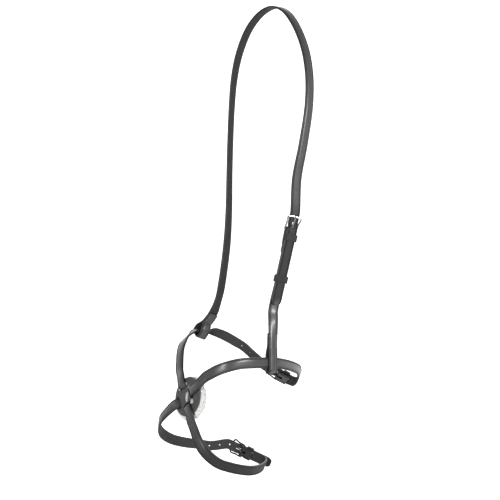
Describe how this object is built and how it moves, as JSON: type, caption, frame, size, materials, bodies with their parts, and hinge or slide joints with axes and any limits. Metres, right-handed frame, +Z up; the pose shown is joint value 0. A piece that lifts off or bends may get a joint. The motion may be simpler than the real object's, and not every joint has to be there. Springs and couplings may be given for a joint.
{
  "type": "grackle noseband",
  "caption": "Crossed leather noseband on a head strap: two nose straps cross under a round leather disc with a fleece pad and buckle behind the jaw and under the chin.",
  "frame": {"origin": "inside of the crown of the head strap, where it hangs from a hook or lies on the poll", "axes": "+Z up, -Y towards the nose, +X to the near side (the left side of the horse)"},
  "size_m": [0.1615, 0.1989, 0.6618],
  "materials": {
    "strap_leather": "black bridle leather, smooth and lightly polished",
    "keeper_leather": "thin black leather, smooth",
    "disc_leather": "firm black leather with cut slots",
    "buckle_steel": "bright polished wire",
    "fleece": "white curly wool pile"
  },
  "bodies": {
    "headpiece": {"head_strap": "strap_leather", "near_cheek_strap": "strap_leather", "cheek_fixed_keeper": "keeper_leather"},
    "cheek_frame": {"cheek_buckle_frame": "buckle_steel"},
    "cheek_tongue": {"cheek_buckle_tongue": "buckle_steel"},
    "cheek_runner": {"cheek_runner_keeper": "keeper_leather"},
    "noseband": {"near_to_off_strap": "strap_leather", "off_to_near_strap": "strap_leather", "jaw_fixed_keeper": "keeper_leather", "chin_fixed_keeper": "keeper_leather", "nose_disc": "disc_leather", "fleece_pad": "fleece"},
    "jaw_frame": {"jaw_buckle_frame": "buckle_steel"},
    "jaw_tongue": {"jaw_buckle_tongue": "buckle_steel"},
    "chin_frame": {"chin_buckle_frame": "buckle_steel"},
    "chin_tongue": {"chin_buckle_tongue": "buckle_steel"}
  },
  "joints": [
    {"name": "cheek_frame_rock", "type": "hinge", "parent": "headpiece", "child": "cheek_frame", "pos_m": [0.05942, -0.02381, -0.30425], "axis": [0.3416, 0.904, -0.257], "range_deg": [0, 4]},
    {"name": "cheek_tongue_hinge", "type": "hinge", "parent": "cheek_frame", "child": "cheek_tongue", "pos_m": [0.05942, -0.02381, -0.30425], "axis": [0.3416, 0.904, -0.257], "range_deg": [0, 6]},
    {"name": "jaw_frame_rock", "type": "hinge", "parent": "noseband", "child": "jaw_frame", "pos_m": [0.01874, -0.00224, -0.52534], "axis": [-0.5336, -0.1797, -0.8264], "range_deg": [0, 4]},
    {"name": "jaw_tongue_hinge", "type": "hinge", "parent": "jaw_frame", "child": "jaw_tongue", "pos_m": [0.01874, -0.00224, -0.52534], "axis": [-0.5336, -0.1797, -0.8264], "range_deg": [0, 6]},
    {"name": "chin_frame_rock", "type": "hinge", "parent": "noseband", "child": "chin_frame", "pos_m": [-0.01136, -0.04731, -0.63925], "axis": [-0.15, -0.3857, -0.9103], "range_deg": [0, 4]},
    {"name": "chin_tongue_hinge", "type": "hinge", "parent": "chin_frame", "child": "chin_tongue", "pos_m": [-0.01136, -0.04731, -0.63925], "axis": [-0.15, -0.3857, -0.9103], "range_deg": [0, 6]},
    {"name": "cheek_runner_slide", "type": "slide", "parent": "headpiece", "child": "cheek_runner", "axis": [-0.046, -0.2571, -0.9653], "range_m": [-0.028, 0.012]},
    {"name": "noseband_swing", "type": "hinge", "parent": "headpiece", "child": "noseband", "pos_m": [-0.00122, -0.07155, -0.47125], "axis": [-0.9862, -0.0687, 0.1507], "range_deg": [0, 4]}
  ]
}
